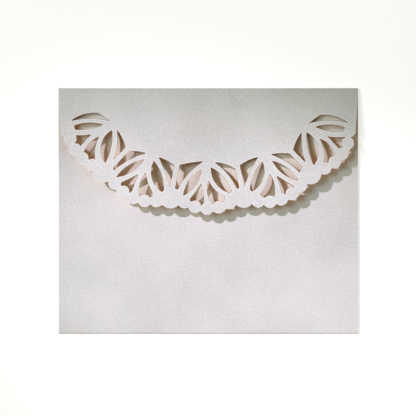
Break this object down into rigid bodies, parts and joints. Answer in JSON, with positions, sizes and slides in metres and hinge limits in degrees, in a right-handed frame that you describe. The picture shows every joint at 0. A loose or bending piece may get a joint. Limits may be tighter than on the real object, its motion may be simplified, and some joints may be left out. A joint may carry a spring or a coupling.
{
  "type": "laser cut greeting card",
  "caption": "Folded card of off-white pearl paper: a plain pocket front under a lifted flap with laser cut leaf fans and a scalloped edge.",
  "frame": {"origin": "middle of the underside of the back panel, on the surface that the card lies on", "axes": "+X across the card, +Y up the card to the fold of the flap, +Z out of its face"},
  "size_m": [0.15, 0.123, 0.007],
  "materials": {
    "pearl_paper": "satin"
  },
  "bodies": {
    "root": {"folded_card": "pearl_paper"}
  },
  "joints": []
}
